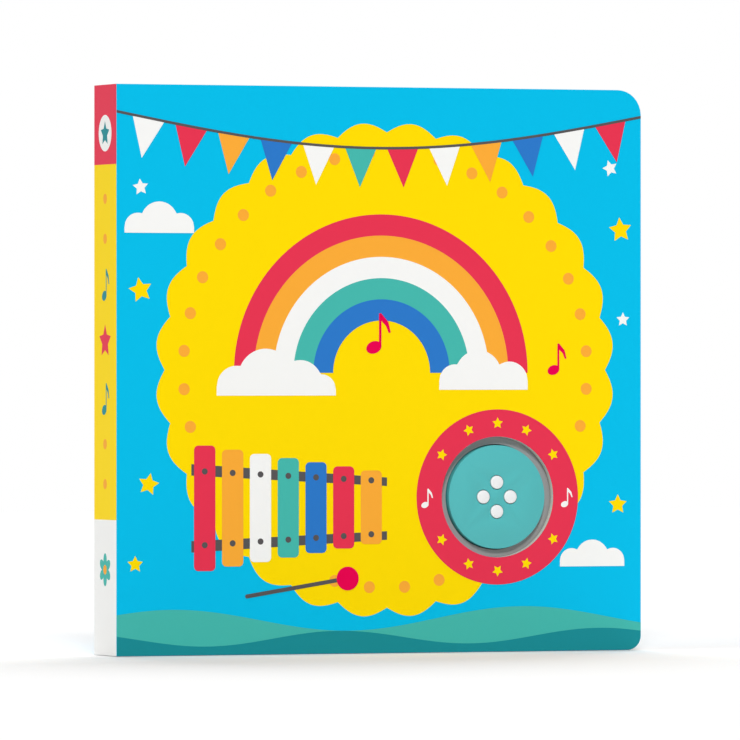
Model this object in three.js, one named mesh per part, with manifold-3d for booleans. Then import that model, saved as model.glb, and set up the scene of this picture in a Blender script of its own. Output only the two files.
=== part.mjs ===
// Square sound board book, closed and standing upright.
// Millimetres, +Z up. The spine is at -X, the front cover faces -Y,
// and the origin is the middle of the bottom.

import * as THREE from 'three';
import Module from 'manifold-3d';

const wasm = await Module();
wasm.setup();

// Driving dimensions

const WIDTH = 200;
const HEIGHT = 200;
const THICKNESS = 22;
const BOARD = 2.2;
const GAP = 0.3;
const CORNER_TOP = 9;
const CORNER_BOTTOM = 5;
const BLOCK = 5.5;
const LEAVES = 4;
const LEAF_GAP = 0.3;
const LEAF_GROOVE = 1.6;
const END_PAGE = 1.2;

const BUTTON_FROM_EDGE = 55.6;
const BUTTON_Z = 54.9;
const HOLE_R = 21.4;
const PAGE_HOLE_MORE = 1.4;
const CAP_R = 18.4;
const CAP_DEPTH = 0.6;
const CAP_PLATE = 2;
const STUD_R = 2.35;
const STUD_OUT = 0.5;
const STUD_SPREAD = 5.2;
const TRAVEL = 2;

const SHELL = 1.4;
const MODULE_LEFT = 38.1;
const MODULE_RIGHT = 45.3;
const MODULE_BELOW = 40.6;
const MODULE_ABOVE = 70.8;
const HOUSING_R = 4;
const HOUSING_WALL = 1.3;
const POST_INSET = 5.2;
const SPEAKER_UP = 47.1;
const SPEAKER_R = 14;
const SOUND_HOLE_R = 1.8;
const SOUND_HOLE_SPREAD = 6;
const CELL_R = 5.8;
const CELL_H = 5.4;
const CELL_ASIDE = 34.6;
const CELL_UP = 0.6;
const CELL_PITCH = 13;
const CELL_ROOM = 0.8;
const DOME_HEIGHT = 2.7;
const PCB = 1.1;

// Derived layers, front to back along Y

const LEFT = -WIDTH / 2;
const RIGHT = WIDTH / 2;
const BUTTON_X = RIGHT - BUTTON_FROM_EDGE;
const SPEAKER_X = BUTTON_X;
const SPEAKER_Z = BUTTON_Z + SPEAKER_UP;
const CELL_X = BUTTON_X + CELL_ASIDE;
const CELL_Z = BUTTON_Z + CELL_UP;
const FRONT = -THICKNESS / 2;
const BACK = THICKNESS / 2;
const COVER_IN = FRONT + BOARD;
const BLOCK_IN = COVER_IN + GAP;
const BLOCK_OUT = BLOCK_IN + BLOCK;
const PAGE_IN = BLOCK_OUT + GAP;
const PAGE_OUT = PAGE_IN + END_PAGE;
const FRAME_IN = PAGE_OUT + GAP;
const BACK_IN = BACK - BOARD;
const FRAME_OUT = BACK_IN - GAP;
const SPINE_IN = LEFT + BOARD;
const BLOCK_LEFT = SPINE_IN + GAP;

const PLATE_IN = FRAME_IN + SHELL;
const REAR_IN = FRAME_OUT - HOUSING_WALL;
const WALL_END = REAR_IN - GAP;
const COLLAR_IN_R = CAP_R + 0.4;
const PAGE_HOLE_R = HOLE_R + PAGE_HOLE_MORE;
const COLLAR_OUT_R = PAGE_HOLE_R - 0.7;
const COLLAR_WALL = 1.6;
const COLLAR_LIP = 1.4;
const COLLAR_TOP = COVER_IN + 0.6;
const CAP_TOP = FRONT + CAP_DEPTH;
const CAP_UNDER = CAP_TOP + CAP_PLATE;
const SKIRT_END = FRAME_IN - TRAVEL - 0.2;
const PLUNGER_TOP = CAP_UNDER + GAP;
const PLUNGER_R = CAP_R - 1.5;
const FLANGE_TOP = PLATE_IN + GAP;
const PCB_IN = WALL_END - PCB;
const DOME_FOOT = PCB_IN - 0.2;
const DOME_TOP = DOME_FOOT - DOME_HEIGHT;
const STEM_END = DOME_TOP - 0.2;
const HOUSING = [
  BUTTON_X - MODULE_LEFT,
  BUTTON_Z - MODULE_BELOW,
  BUTTON_X + MODULE_RIGHT,
  BUTTON_Z + MODULE_ABOVE,
];

// Materials

function material(color, roughness, metalness = 0) {
  return new THREE.MeshStandardMaterial({ color, roughness, metalness });
}

const PRINTED_BLUE = material(0x03bde9, 0.35);
const PRINTED_YELLOW = material(0xf2d205, 0.35);
const PAGE_WHITE = material(0xf3f1ec, 0.6);
const PRINTED_TEAL = material(0x46b7ac, 0.4);
const GREY_BOARD = material(0x9c9a95, 0.85);
const GREY_PLASTIC = material(0xa0a0a0, 0.5);
const TEAL_PLASTIC = material(0x4eb6b8, 0.45);
const WHITE_PLASTIC = material(0xebedee, 0.45);
const CLEAR_RUBBER = material(0xd8d8d4, 0.6);
const BOARD_GREEN = material(0x1f6b3a, 0.5);
const RESIN = material(0x17171a, 0.4);
const PAPER_CONE = material(0x3a3936, 0.8);
const STEEL = material(0xb8bbbe, 0.3, 1);
const RED_WIRE = material(0xc0282c, 0.45);
const BLACK_WIRE = material(0x202022, 0.45);

// Outlines in the X-Z plane

function arc(cx, cz, r, from, to, steps) {
  const points = [];
  for (let i = 0; i <= steps; i += 1) {
    const a = from + (to - from) * i / steps;
    points.push(new THREE.Vector2(cx + r * Math.cos(a), cz + r * Math.sin(a)));
  }
  return points;
}

function circle(cx, cz, r, steps) {
  return arc(cx, cz, r, 0, 2 * Math.PI * (steps - 1) / steps, steps - 1);
}

// Corner radii run bottom left, bottom right, top right, top left.
function roundRect([x0, z0, x1, z1], radii, steps = 6) {
  const corners = [
    [x0, z0, 1, 1, Math.PI],
    [x1, z0, -1, 1, 1.5 * Math.PI],
    [x1, z1, -1, -1, 2 * Math.PI],
    [x0, z1, 1, -1, 2.5 * Math.PI],
  ];
  const points = [];
  corners.forEach(([x, z, sx, sz, from], i) => {
    const r = radii[i];
    if (r === 0) {
      points.push(new THREE.Vector2(x, z));
      return;
    }
    points.push(...arc(x + sx * r, z + sz * r, r, from, from + Math.PI / 2, steps));
  });
  return points;
}

function bookOutline(left, inset = 0) {
  const box = [left, inset, RIGHT - inset, HEIGHT - inset];
  const bottom = Math.max(CORNER_BOTTOM - inset, 0.5);
  const top = Math.max(CORNER_TOP - inset, 0.5);
  return roundRect(box, [0, bottom, top, 0], 8);
}

// Solids

// A plate between two levels of Y, with its holes given as outlines.
function plate(outline, y0, y1, holes = []) {
  const shape = new THREE.Shape(outline);
  holes.forEach((hole) => shape.holes.push(new THREE.Path(hole)));
  const geometry = new THREE.ExtrudeGeometry(shape, { depth: y1 - y0, bevelEnabled: false });
  geometry.rotateX(Math.PI / 2);
  geometry.translate(0, y1, 0);
  return geometry;
}

// A turned solid about a line along Y.
function turned(profile, x, z, steps = 48) {
  const points = profile.map(([r, y]) => new THREE.Vector2(r, y));
  const geometry = new THREE.LatheGeometry(points, steps);
  geometry.translate(x, 0, z);
  return geometry;
}

function rod(x, z, r, y0, y1, steps = 24) {
  return turned([[0, y0], [r, y0], [r, y1], [0, y1]], x, z, steps);
}

function weld(geometry) {
  const source = geometry.index ? geometry.toNonIndexed() : geometry;
  const position = source.attributes.position;
  const seen = new Map();
  const vertices = [];
  const triangles = [];
  for (let i = 0; i < position.count; i += 3) {
    const ids = [];
    for (let k = 0; k < 3; k += 1) {
      const p = [position.getX(i + k), position.getY(i + k), position.getZ(i + k)];
      const key = p.map((v) => Math.round(v * 1e4)).join(',');
      if (!seen.has(key)) {
        seen.set(key, vertices.length / 3);
        vertices.push(...p);
      }
      ids.push(seen.get(key));
    }
    if (ids[0] !== ids[1] && ids[1] !== ids[2] && ids[2] !== ids[0]) {
      triangles.push(...ids);
    }
  }
  return { vertices, triangles };
}

function toManifold(geometry) {
  const { vertices, triangles } = weld(geometry);
  return new wasm.Manifold(new wasm.Mesh({
    numProp: 3,
    vertProperties: new Float32Array(vertices),
    triVerts: new Uint32Array(triangles),
  }));
}

function toGeometry(solid) {
  const out = solid.getMesh();
  const geometry = new THREE.BufferGeometry();
  geometry.setAttribute('position', new THREE.BufferAttribute(new Float32Array(out.vertProperties), 3));
  geometry.setIndex(Array.from(out.triVerts));
  geometry.computeVertexNormals();
  return geometry;
}

function combine(added, cut = []) {
  let solid = toManifold(added[0]);
  added.slice(1).forEach((g) => {
    solid = solid.add(toManifold(g));
  });
  cut.forEach((g) => {
    solid = solid.subtract(toManifold(g));
  });
  return toGeometry(solid);
}

function piece(name, geometry, look) {
  const mesh = new THREE.Mesh(geometry, look);
  mesh.name = name;
  return mesh;
}

// Case and pages

function speakerHoles(r) {
  const holes = [circle(SPEAKER_X, SPEAKER_Z, r, 16)];
  for (let i = 0; i < 6; i += 1) {
    const a = i * Math.PI / 3;
    const x = SPEAKER_X + SOUND_HOLE_SPREAD * Math.cos(a);
    holes.push(circle(x, SPEAKER_Z + SOUND_HOLE_SPREAD * Math.sin(a), r, 16));
  }
  return holes;
}

const WELL_X = CELL_R + CELL_ROOM;
const WELL_Z = CELL_PITCH + CELL_R + CELL_ROOM + 0.7;
const WELL = [CELL_X - WELL_X, CELL_Z - WELL_Z, CELL_X + WELL_X, CELL_Z + WELL_Z];
const DOOR = [WELL[0] - 2.4, WELL[1] - 9.2, WELL[2] + 2.4, WELL[3] + 3.2];
const DOOR_SCREW_Z = DOOR[1] + 4.4;

function grow([x0, z0, x1, z1], by) {
  return [x0 - by, z0 - by, x1 + by, z1 + by];
}

function buttonHole(r) {
  return circle(BUTTON_X, BUTTON_Z, r, 64);
}

function frontCover() {
  return piece('front_cover', plate(bookOutline(LEFT), FRONT, COVER_IN, [buttonHole(HOLE_R)]), PRINTED_BLUE);
}

function spineBoard() {
  const outline = roundRect([LEFT, 0, SPINE_IN, HEIGHT], [0, 0, 0, 0]);
  return piece('spine_board', plate(outline, BLOCK_IN, FRAME_OUT), PRINTED_YELLOW);
}

function backCover() {
  const door = roundRect(grow(DOOR, GAP), [2.3, 2.3, 2.3, 2.3], 4);
  const holes = [door, ...speakerHoles(SOUND_HOLE_R)];
  return piece('back_cover', plate(bookOutline(LEFT), BACK_IN, BACK, holes), PRINTED_BLUE);
}

// The leaves are one solid, with a groove between each two at the open edges.
function pageBlock() {
  const leaf = (BLOCK - (LEAVES - 1) * LEAF_GAP) / LEAVES;
  const coreHole = circle(BUTTON_X, BUTTON_Z, PAGE_HOLE_R + LEAF_GROOVE, 32);
  const core = plate(bookOutline(BLOCK_LEFT, LEAF_GROOVE), BLOCK_IN + 0.2, BLOCK_OUT - 0.2, [coreHole]);
  const solids = [core];
  for (let i = 0; i < LEAVES; i += 1) {
    const y = BLOCK_IN + i * (leaf + LEAF_GAP);
    solids.push(plate(bookOutline(BLOCK_LEFT), y, y + leaf, [buttonHole(PAGE_HOLE_R)]));
  }
  return piece('page_block', combine(solids), PAGE_WHITE);
}

function endPage() {
  const geometry = plate(bookOutline(BLOCK_LEFT), PAGE_IN, PAGE_OUT, [buttonHole(PAGE_HOLE_R)]);
  return piece('end_page', geometry, PRINTED_TEAL);
}

function moduleFrame() {
  const r = HOUSING_R + GAP;
  const cavity = roundRect(grow(HOUSING, GAP), [r, r, r, r]);
  return piece('module_frame', plate(bookOutline(BLOCK_LEFT), FRAME_IN, FRAME_OUT, [cavity]), GREY_BOARD);
}

// Module housing

const POSTS = [
  [HOUSING[0] + POST_INSET, HOUSING[1] + POST_INSET],
  [HOUSING[2] - POST_INSET, HOUSING[1] + POST_INSET],
  [HOUSING[0] + POST_INSET, HOUSING[3] - POST_INSET],
  [HOUSING[2] - POST_INSET, HOUSING[3] - POST_INSET],
];

function housingOutline(inset = 0) {
  const r = HOUSING_R - inset;
  return roundRect(grow(HOUSING, -inset), [r, r, r, r]);
}

function housingFront() {
  const bore = circle(BUTTON_X, BUTTON_Z, COLLAR_IN_R, 64);
  const face = plate(housingOutline(), FRAME_IN, PLATE_IN, [bore]);
  const wall = plate(housingOutline(), PLATE_IN - 0.2, WALL_END, [housingOutline(HOUSING_WALL)]);
  const foot = FRAME_IN + 0.2;
  const collar = turned([
    [COLLAR_IN_R, COLLAR_TOP],
    [COLLAR_OUT_R - 0.3, COLLAR_TOP],
    [COLLAR_OUT_R, COLLAR_TOP + 0.3],
    [COLLAR_OUT_R, COLLAR_TOP + COLLAR_LIP],
    [COLLAR_IN_R + COLLAR_WALL, COLLAR_TOP + COLLAR_LIP],
    [COLLAR_IN_R + COLLAR_WALL, foot],
    [COLLAR_IN_R, foot],
    [COLLAR_IN_R, COLLAR_TOP],
  ], BUTTON_X, BUTTON_Z, 64);
  const posts = POSTS.map(([x, z]) => turned([
    [0, PLATE_IN - 0.2],
    [3, PLATE_IN - 0.2],
    [3, WALL_END],
    [1.1, WALL_END],
    [1.1, PLATE_IN + 1.4],
    [0, PLATE_IN + 1.4],
  ], x, z, 16));
  return piece('housing_front', combine([face, wall, collar, ...posts]), GREY_PLASTIC);
}

function housingBack() {
  const sheet = plate(housingOutline(), REAR_IN, FRAME_OUT, speakerHoles(SOUND_HOLE_R));
  const wellOuter = roundRect(grow(WELL, 1.2), [1.5, 1.5, 1.5, 1.5], 3);
  const well = plate(wellOuter, PLATE_IN + GAP, REAR_IN + 0.3);
  const screwPost = rod(CELL_X, DOOR_SCREW_Z, 3, REAR_IN - 4.2, REAR_IN + 0.3);
  const hollow = plate(roundRect(WELL, [0.6, 0.6, 0.6, 0.6], 2), PLATE_IN + GAP + 1, FRAME_OUT + 1);
  const doorPilot = rod(CELL_X, DOOR_SCREW_Z, 1.2, REAR_IN - 3.2, FRAME_OUT + 1);
  const bores = POSTS.map(([x, z]) => rod(x, z, 1.3, REAR_IN - 1, FRAME_OUT + 1));
  const seats = POSTS.map(([x, z]) => rod(x, z, 2.5, FRAME_OUT - 0.6, FRAME_OUT + 1));
  const solid = combine([sheet, well, screwPost], [hollow, doorPilot, ...bores, ...seats]);
  return piece('housing_back', solid, GREY_PLASTIC);
}

function housingScrews() {
  return POSTS.map(([x, z], i) => {
    const geometry = turned([
      [0, PLATE_IN + 1.8],
      [0.9, PLATE_IN + 2.4],
      [0.9, FRAME_OUT - 0.5],
      [2.2, FRAME_OUT - 0.5],
      [2.2, FRAME_OUT],
      [0, FRAME_OUT],
    ], x, z, 20);
    const slot = new THREE.BoxGeometry(3, 0.5, 0.5);
    slot.translate(x, FRAME_OUT, z);
    return piece(`housing_screw_${i + 1}`, combine([geometry], [slot]), STEEL);
  });
}

// Button

function studs(r, y0, y1, steps) {
  return [0, 1, 2, 3].map((i) => {
    const a = i * Math.PI / 2;
    const x = BUTTON_X + STUD_SPREAD * Math.cos(a);
    const z = BUTTON_Z + STUD_SPREAD * Math.sin(a);
    return turned([[0, y0], [r - 0.25, y0], [r, y0 + 0.25], [r, y1], [0, y1]], x, z, steps);
  });
}

function buttonCap() {
  const body = turned([
    [0, CAP_TOP],
    [CAP_R - 0.5, CAP_TOP],
    [CAP_R - 0.15, CAP_TOP + 0.15],
    [CAP_R, CAP_TOP + 0.5],
    [CAP_R, SKIRT_END],
    [CAP_R - 1.2, SKIRT_END],
    [CAP_R - 1.2, CAP_UNDER],
    [0, CAP_UNDER],
  ], BUTTON_X, BUTTON_Z, 64);
  const holes = studs(STUD_R + 0.25, CAP_TOP - 1, CAP_UNDER + 1, 24);
  return piece('button_cap', combine([body], holes), TEAL_PLASTIC);
}

function buttonPlunger() {
  const body = turned([
    [0, PLUNGER_TOP],
    [PLUNGER_R, PLUNGER_TOP],
    [PLUNGER_R, FLANGE_TOP],
    [COLLAR_IN_R + 1, FLANGE_TOP],
    [COLLAR_IN_R + 1, FLANGE_TOP + 1],
    [PLUNGER_R - 1.7, FLANGE_TOP + 1],
    [PLUNGER_R - 1.7, PLUNGER_TOP + 1.1],
    [3, PLUNGER_TOP + 1.1],
    [3, STEM_END],
    [0, STEM_END],
  ], BUTTON_X, BUTTON_Z, 48);
  const raised = studs(STUD_R, CAP_TOP - STUD_OUT, PLUNGER_TOP + 0.5, 24);
  return piece('button_plunger', combine([body, ...raised]), WHITE_PLASTIC);
}

function keyDome() {
  const geometry = turned([
    [0, DOME_TOP],
    [2.9, DOME_TOP],
    [3.3, DOME_TOP + 0.4],
    [5, DOME_FOOT - 0.6],
    [6, DOME_FOOT - 0.6],
    [6, DOME_FOOT],
    [4.4, DOME_FOOT],
    [2.7, DOME_TOP + 0.9],
    [0, DOME_TOP + 0.9],
  ], BUTTON_X, BUTTON_Z, 24);
  return piece('key_dome', geometry, CLEAR_RUBBER);
}

// Electronics

function circuitBoard() {
  const box = [BUTTON_X - 32.4, BUTTON_Z - 24.9, WELL[0] - 3.4, BUTTON_Z + 27.1];
  const outline = roundRect(box, [1, 1, 1, 1], 3);
  return piece('circuit_board', plate(outline, PCB_IN, WALL_END), BOARD_GREEN);
}

function chipBlob() {
  const top = PCB_IN - 1.8;
  const foot = PCB_IN - 0.1;
  const profile = [[0, top], [1.6, top + 0.15], [3, top + 0.7], [4, foot - 0.3], [4.2, foot], [0, foot]];
  return piece('chip_blob', turned(profile, BUTTON_X - 23.4, BUTTON_Z + 16.1, 24), RESIN);
}

function speaker() {
  const rim = WALL_END;
  const low = PLATE_IN + 0.4;
  const seat = low + 1.7;
  const basket = turned([
    [4, seat],
    [8, seat],
    [SPEAKER_R - 1, rim - 1.3],
    [SPEAKER_R, rim - 1.3],
    [SPEAKER_R, rim],
    [SPEAKER_R - 1.6, rim],
    [SPEAKER_R - 1.6, rim - 0.6],
    [7.4, seat + 0.8],
    [4, seat + 0.8],
    [4, seat],
  ], SPEAKER_X, SPEAKER_Z, 32);
  const cone = turned([
    [0, seat + 2.1],
    [3.6, seat + 2.1],
    [SPEAKER_R - 1.9, rim - 0.55],
    [SPEAKER_R - 1.9, rim - 0.15],
    [3.4, seat + 2.6],
    [0, seat + 2.6],
  ], SPEAKER_X, SPEAKER_Z, 32);
  const magnet = turned([
    [0, low],
    [6.5, low],
    [6.5, low + 1.4],
    [3.5, low + 1.4],
    [3.5, low + 3.4],
    [0, low + 3.4],
  ], SPEAKER_X, SPEAKER_Z, 32);
  return [
    piece('speaker_frame', basket, STEEL),
    piece('speaker_cone', cone, PAPER_CONE),
    piece('speaker_magnet', magnet, STEEL),
  ];
}

const FLOOR = PLATE_IN + GAP + 1;
const CELL_TOP = FLOOR + 0.5;

function cells() {
  return [-1, 0, 1].map((i, n) => {
    const y1 = CELL_TOP + CELL_H;
    const geometry = turned([
      [0, CELL_TOP],
      [CELL_R - 1.2, CELL_TOP],
      [CELL_R - 1, CELL_TOP + 0.4],
      [CELL_R - 0.3, CELL_TOP + 0.4],
      [CELL_R, CELL_TOP + 0.8],
      [CELL_R, y1 - 0.2],
      [CELL_R - 0.2, y1],
      [0, y1],
    ], CELL_X, CELL_Z + i * CELL_PITCH, 24);
    return piece(`cell_${n + 1}`, geometry, STEEL);
  });
}

function strip(name, z0, z1, y0) {
  const outline = roundRect([CELL_X - 3.5, z0, CELL_X + 3.5, z1], [1, 1, 1, 1], 3);
  return piece(name, plate(outline, y0, y0 + 0.3), STEEL);
}

function contacts() {
  const near = FLOOR + 0.1;
  const far = CELL_TOP + CELL_H + 0.1;
  return [
    strip('contact_1', WELL[1] + 1, CELL_Z + 4, near),
    strip('contact_2', CELL_Z + 8, WELL[3] - 1, near),
    strip('contact_3', WELL[1] + 1, CELL_Z - 8, far),
    strip('contact_4', CELL_Z - 4, WELL[3] - 1, far),
  ];
}

function batteryDoor() {
  const panelIn = BACK_IN;
  const panelOut = BACK - 0.2;
  const panel = plate(roundRect(DOOR, [2, 2, 2, 2], 4), panelIn, panelOut);
  const lip = plate(roundRect(grow(WELL, -0.4), [0.6, 0.6, 0.6, 0.6], 2), panelIn - 0.6, panelIn + 0.3);
  const bore = rod(CELL_X, DOOR_SCREW_Z, 1.4, panelIn - 2, BACK);
  const seat = rod(CELL_X, DOOR_SCREW_Z, 2.8, panelOut - 0.9, BACK);
  const grip = [0, 1, 2].map((i) => {
    const bar = new THREE.BoxGeometry(8, 0.8, 0.8);
    bar.translate(CELL_X, panelOut, DOOR[3] - 3 - 1.8 * i);
    return bar;
  });
  return piece('battery_door', combine([panel, lip], [bore, seat, ...grip]), GREY_PLASTIC);
}

function doorScrew() {
  const head = BACK - 0.2;
  const geometry = turned([
    [0, REAR_IN - 2.8],
    [0.9, REAR_IN - 2.2],
    [0.9, head - 0.8],
    [2.4, head - 0.8],
    [2.4, head - 0.1],
    [2.2, head],
    [0, head],
  ], CELL_X, DOOR_SCREW_Z, 24);
  const bars = [0, Math.PI / 2].map((a) => {
    const bar = new THREE.BoxGeometry(2.8, 0.8, 0.6);
    bar.rotateY(a);
    bar.translate(CELL_X, head, DOOR_SCREW_Z);
    return bar;
  });
  return piece('door_screw', combine([geometry], bars), STEEL);
}

// A wire through the given points, closed at both ends.
function wire(name, path, look) {
  const curve = new THREE.CatmullRomCurve3(path.map(([x, y, z]) => new THREE.Vector3(x, y, z)));
  const section = new THREE.Shape(circle(0, 0, 0.5, 8));
  const geometry = new THREE.ExtrudeGeometry(section, { steps: 14, extrudePath: curve });
  return piece(name, geometry, look);
}

function wires() {
  const y = PCB_IN - 0.8;
  const low = PLATE_IN + 1;
  const edge = BUTTON_Z + 27.1 - 4;
  const foot = SPEAKER_Z - 10;
  const left = (dx, dy, z) => [BUTTON_X + dx, dy, z];
  const well = (dz, from) => [WELL[0] - 2.2, y - 0.6, from + dz];
  return [
    wire('speaker_wire_1', [
      left(-6.4, y, edge),
      left(-8.4, y - 1, edge + 4),
      left(-7.4, low + 0.4, foot - 6),
      left(-5.9, low, foot),
    ], RED_WIRE),
    wire('speaker_wire_2', [
      left(5.6, y, edge),
      left(7.6, y - 1, edge + 4),
      left(7.1, low + 0.4, foot - 6),
      left(5.9, low, foot),
    ], BLACK_WIRE),
    wire('battery_wire_1', [
      left(19.6, y, BUTTON_Z - 18.9),
      left(22.6, y - 0.6, BUTTON_Z - 21.9),
      well(-1.9, WELL[1] + 1),
      well(2.8, WELL[1]),
    ], RED_WIRE),
    wire('battery_wire_2', [
      left(19.6, y, edge),
      left(22.6, y - 0.6, edge + 3),
      [WELL[0] - 0.4, y - 0.6, WELL[3] + 4.6],
      [CELL_X - 3, y - 0.6, WELL[3] + 2.7],
    ], BLACK_WIRE),
  ];
}

const book = new THREE.Group();
book.name = 'sound_book';
book.add(
  frontCover(),
  spineBoard(),
  backCover(),
  pageBlock(),
  endPage(),
  moduleFrame(),
  housingFront(),
  housingBack(),
  ...housingScrews(),
  buttonCap(),
  buttonPlunger(),
  keyDome(),
  circuitBoard(),
  chipBlob(),
  ...speaker(),
  ...cells(),
  ...contacts(),
  batteryDoor(),
  doorScrew(),
  ...wires(),
);

export default book;
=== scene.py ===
# %% [markdown]
# # A board book with a sound key
# A board book for small children is a stack of thick printed boards with a sheet
# of printed paper wrapped round it. This one has a push button in a round hole,
# over a small sound module. The solids of the book come from the frame, which is
# fixed: the lesson gives them their surfaces and adds what is too thin or too
# fine for them, which is the print, the wrap round the spine, and a key with
# smooth rounds. Everything could be made again here, but the frame knows how the
# parts move, so each new piece only rides on one of its bodies.

import math

import bpy
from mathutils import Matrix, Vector


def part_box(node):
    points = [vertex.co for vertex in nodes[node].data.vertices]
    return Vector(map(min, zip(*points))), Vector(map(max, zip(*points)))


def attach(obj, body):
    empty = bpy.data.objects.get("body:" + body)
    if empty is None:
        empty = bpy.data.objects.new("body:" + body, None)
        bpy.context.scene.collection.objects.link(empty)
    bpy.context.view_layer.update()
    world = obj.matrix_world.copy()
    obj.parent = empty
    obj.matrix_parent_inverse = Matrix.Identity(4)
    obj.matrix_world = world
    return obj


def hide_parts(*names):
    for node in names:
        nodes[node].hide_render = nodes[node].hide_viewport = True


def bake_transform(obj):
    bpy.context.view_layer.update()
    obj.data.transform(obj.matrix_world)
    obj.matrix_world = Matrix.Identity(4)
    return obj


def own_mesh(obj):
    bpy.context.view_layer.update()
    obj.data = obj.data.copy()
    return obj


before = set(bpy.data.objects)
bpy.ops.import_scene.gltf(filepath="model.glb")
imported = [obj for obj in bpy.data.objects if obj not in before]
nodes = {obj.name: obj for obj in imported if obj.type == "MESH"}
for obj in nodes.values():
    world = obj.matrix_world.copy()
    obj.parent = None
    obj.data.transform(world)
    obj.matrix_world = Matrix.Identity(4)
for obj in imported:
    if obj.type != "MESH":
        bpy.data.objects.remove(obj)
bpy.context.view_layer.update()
print(len(nodes), "solids loaded")

# %% [markdown]
# ## Sizes
# A book is measured in millimetres and Blender works in metres, so every length
# below is in millimetres and is multiplied by MM where it meets Blender. The
# faces of the covers are read from the solids, and only what a box can't tell,
# such as the place of the round hole, is written down again. Print stops MARGIN
# short of a cut edge, so that it never hangs over it.

# %% Name the sizes
MM = 0.001
QUARTER = math.pi / 2
HEIGHT = 200.0
LEFT = -100.0
RIGHT = 100.0
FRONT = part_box("front_cover")[0].y / MM
COVER_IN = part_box("front_cover")[1].y / MM
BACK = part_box("back_cover")[1].y / MM
LOW_CORNER = 5
HIGH_CORNER = 9
KEY_X = 44.4
KEY_Z = 54.9
HOLE_R = 21.4
PAGE_HOLE_R = 22.8
MARGIN = 0.05
print("front face at", round(FRONT, 2), "mm, back face at", round(BACK, 2), "mm")

# %% [markdown]
# ## Grain
# No real surface has one colour all over: print is a little mottled, plastic is
# finely textured, paper has fibres. A painted picture could show that, but then it
# would fit one piece at one size only. A noise worked out from the place on the
# piece fits all of them. It is built once as a group, and each material gives it
# its own colour, scale and depth. The group reads object coordinates, so the
# grain stays on a piece that moves.

# %% An empty group
def new_group(name, inputs, outputs):
    """Makes an empty group with named sockets, and returns its two ends too."""
    group = bpy.data.node_groups.new(name, "ShaderNodeTree")
    for label, kind, value in inputs:
        socket = group.interface.new_socket(label, in_out="INPUT", socket_type=kind)
        socket.default_value = value
    for label, kind in outputs:
        group.interface.new_socket(label, in_out="OUTPUT", socket_type=kind)
    return group, group.nodes.new("NodeGroupInput"), group.nodes.new("NodeGroupOutput")


print("groups before the first one:", len(bpy.data.node_groups))

# %% Helpers for nodes
def add(tree, kind, **values):
    """Adds a node; each value is named for an input, with _ for a space."""
    node = tree.nodes.new("ShaderNode" + kind)
    for label, value in values.items():
        node.inputs[label.replace("_", " ")].default_value = value
    return node


def add_math(tree, operation, second=None):
    """Adds a sum of one kind; second is its second number where that is fixed."""
    node = add(tree, "Math")
    node.operation = operation
    if second is not None:
        node.inputs[1].default_value = second
    return node


def add_mix(tree, blend="MIX"):
    """Adds a mix of two colours."""
    node = add(tree, "Mix")
    node.data_type = "RGBA"
    node.blend_type = blend
    return node


print("made the helpers add, add_math and add_mix")

# %% The grain group
def grain_group():
    group, start, end = new_group(
        "grain",
        [
            ("Color", "NodeSocketColor", (1, 1, 1, 1)),
            ("Scale", "NodeSocketFloat", 400.0),
            ("Depth", "NodeSocketFloat", 0.06),
        ],
        [("Color", "NodeSocketColor"), ("Height", "NodeSocketFloat")],
    )
    link = group.links.new
    where = add(group, "TexCoord")
    fine = add(group, "TexNoise", Detail=3.0)
    broad = add(group, "TexNoise", Scale=14.0)
    both = add_math(group, "ADD")
    half = add_math(group, "MULTIPLY", 0.5)
    amount = add(group, "MapRange", From_Min=0.3, From_Max=0.7, To_Min=0.0)
    shade = add_mix(group, "MULTIPLY")
    shade.inputs["B"].default_value = (0.8, 0.8, 0.8, 1)
    link(where.outputs["Object"], fine.inputs["Vector"])
    link(where.outputs["Object"], broad.inputs["Vector"])
    link(start.outputs["Scale"], fine.inputs["Scale"])
    link(fine.outputs["Fac"], both.inputs[0])
    link(broad.outputs["Fac"], both.inputs[1])
    link(both.outputs[0], half.inputs[0])
    link(half.outputs[0], amount.inputs["Value"])
    link(start.outputs["Depth"], amount.inputs["To Max"])
    link(amount.outputs["Result"], shade.inputs["Factor"])
    link(start.outputs["Color"], shade.inputs["A"])
    link(shade.outputs["Result"], end.inputs["Color"])
    link(fine.outputs["Fac"], end.inputs["Height"])
    return group


GRAIN = grain_group()
print("the group", GRAIN.name, "has", len(GRAIN.nodes), "nodes")

# %% [markdown]
# ## One recipe for a surface
# A material is one shader with the grain before it. What is the same all over,
# such as how rough or how metallic the surface is, is set on the shader's own
# socket. Colours are easiest to judge as they look on screen, from 0 to 255, and
# a shader wants the amount of light, so linear() turns one into the other. Its
# odd numbers are those of the sRGB curve, which every screen follows.

# %% Colour
def linear(rgb):
    """Turns a colour as seen on screen into amounts of light."""
    out = []
    for c in rgb:
        c = c / 255
        out.append(c / 12.92 if c <= 0.04045 else ((c + 0.055) / 1.055) ** 2.4)
    return tuple(out) + (1.0,)


print("light in a middle grey:", round(linear((128, 128, 128))[0], 2))

# %% The recipe
RELIEF = 0.2


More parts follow.
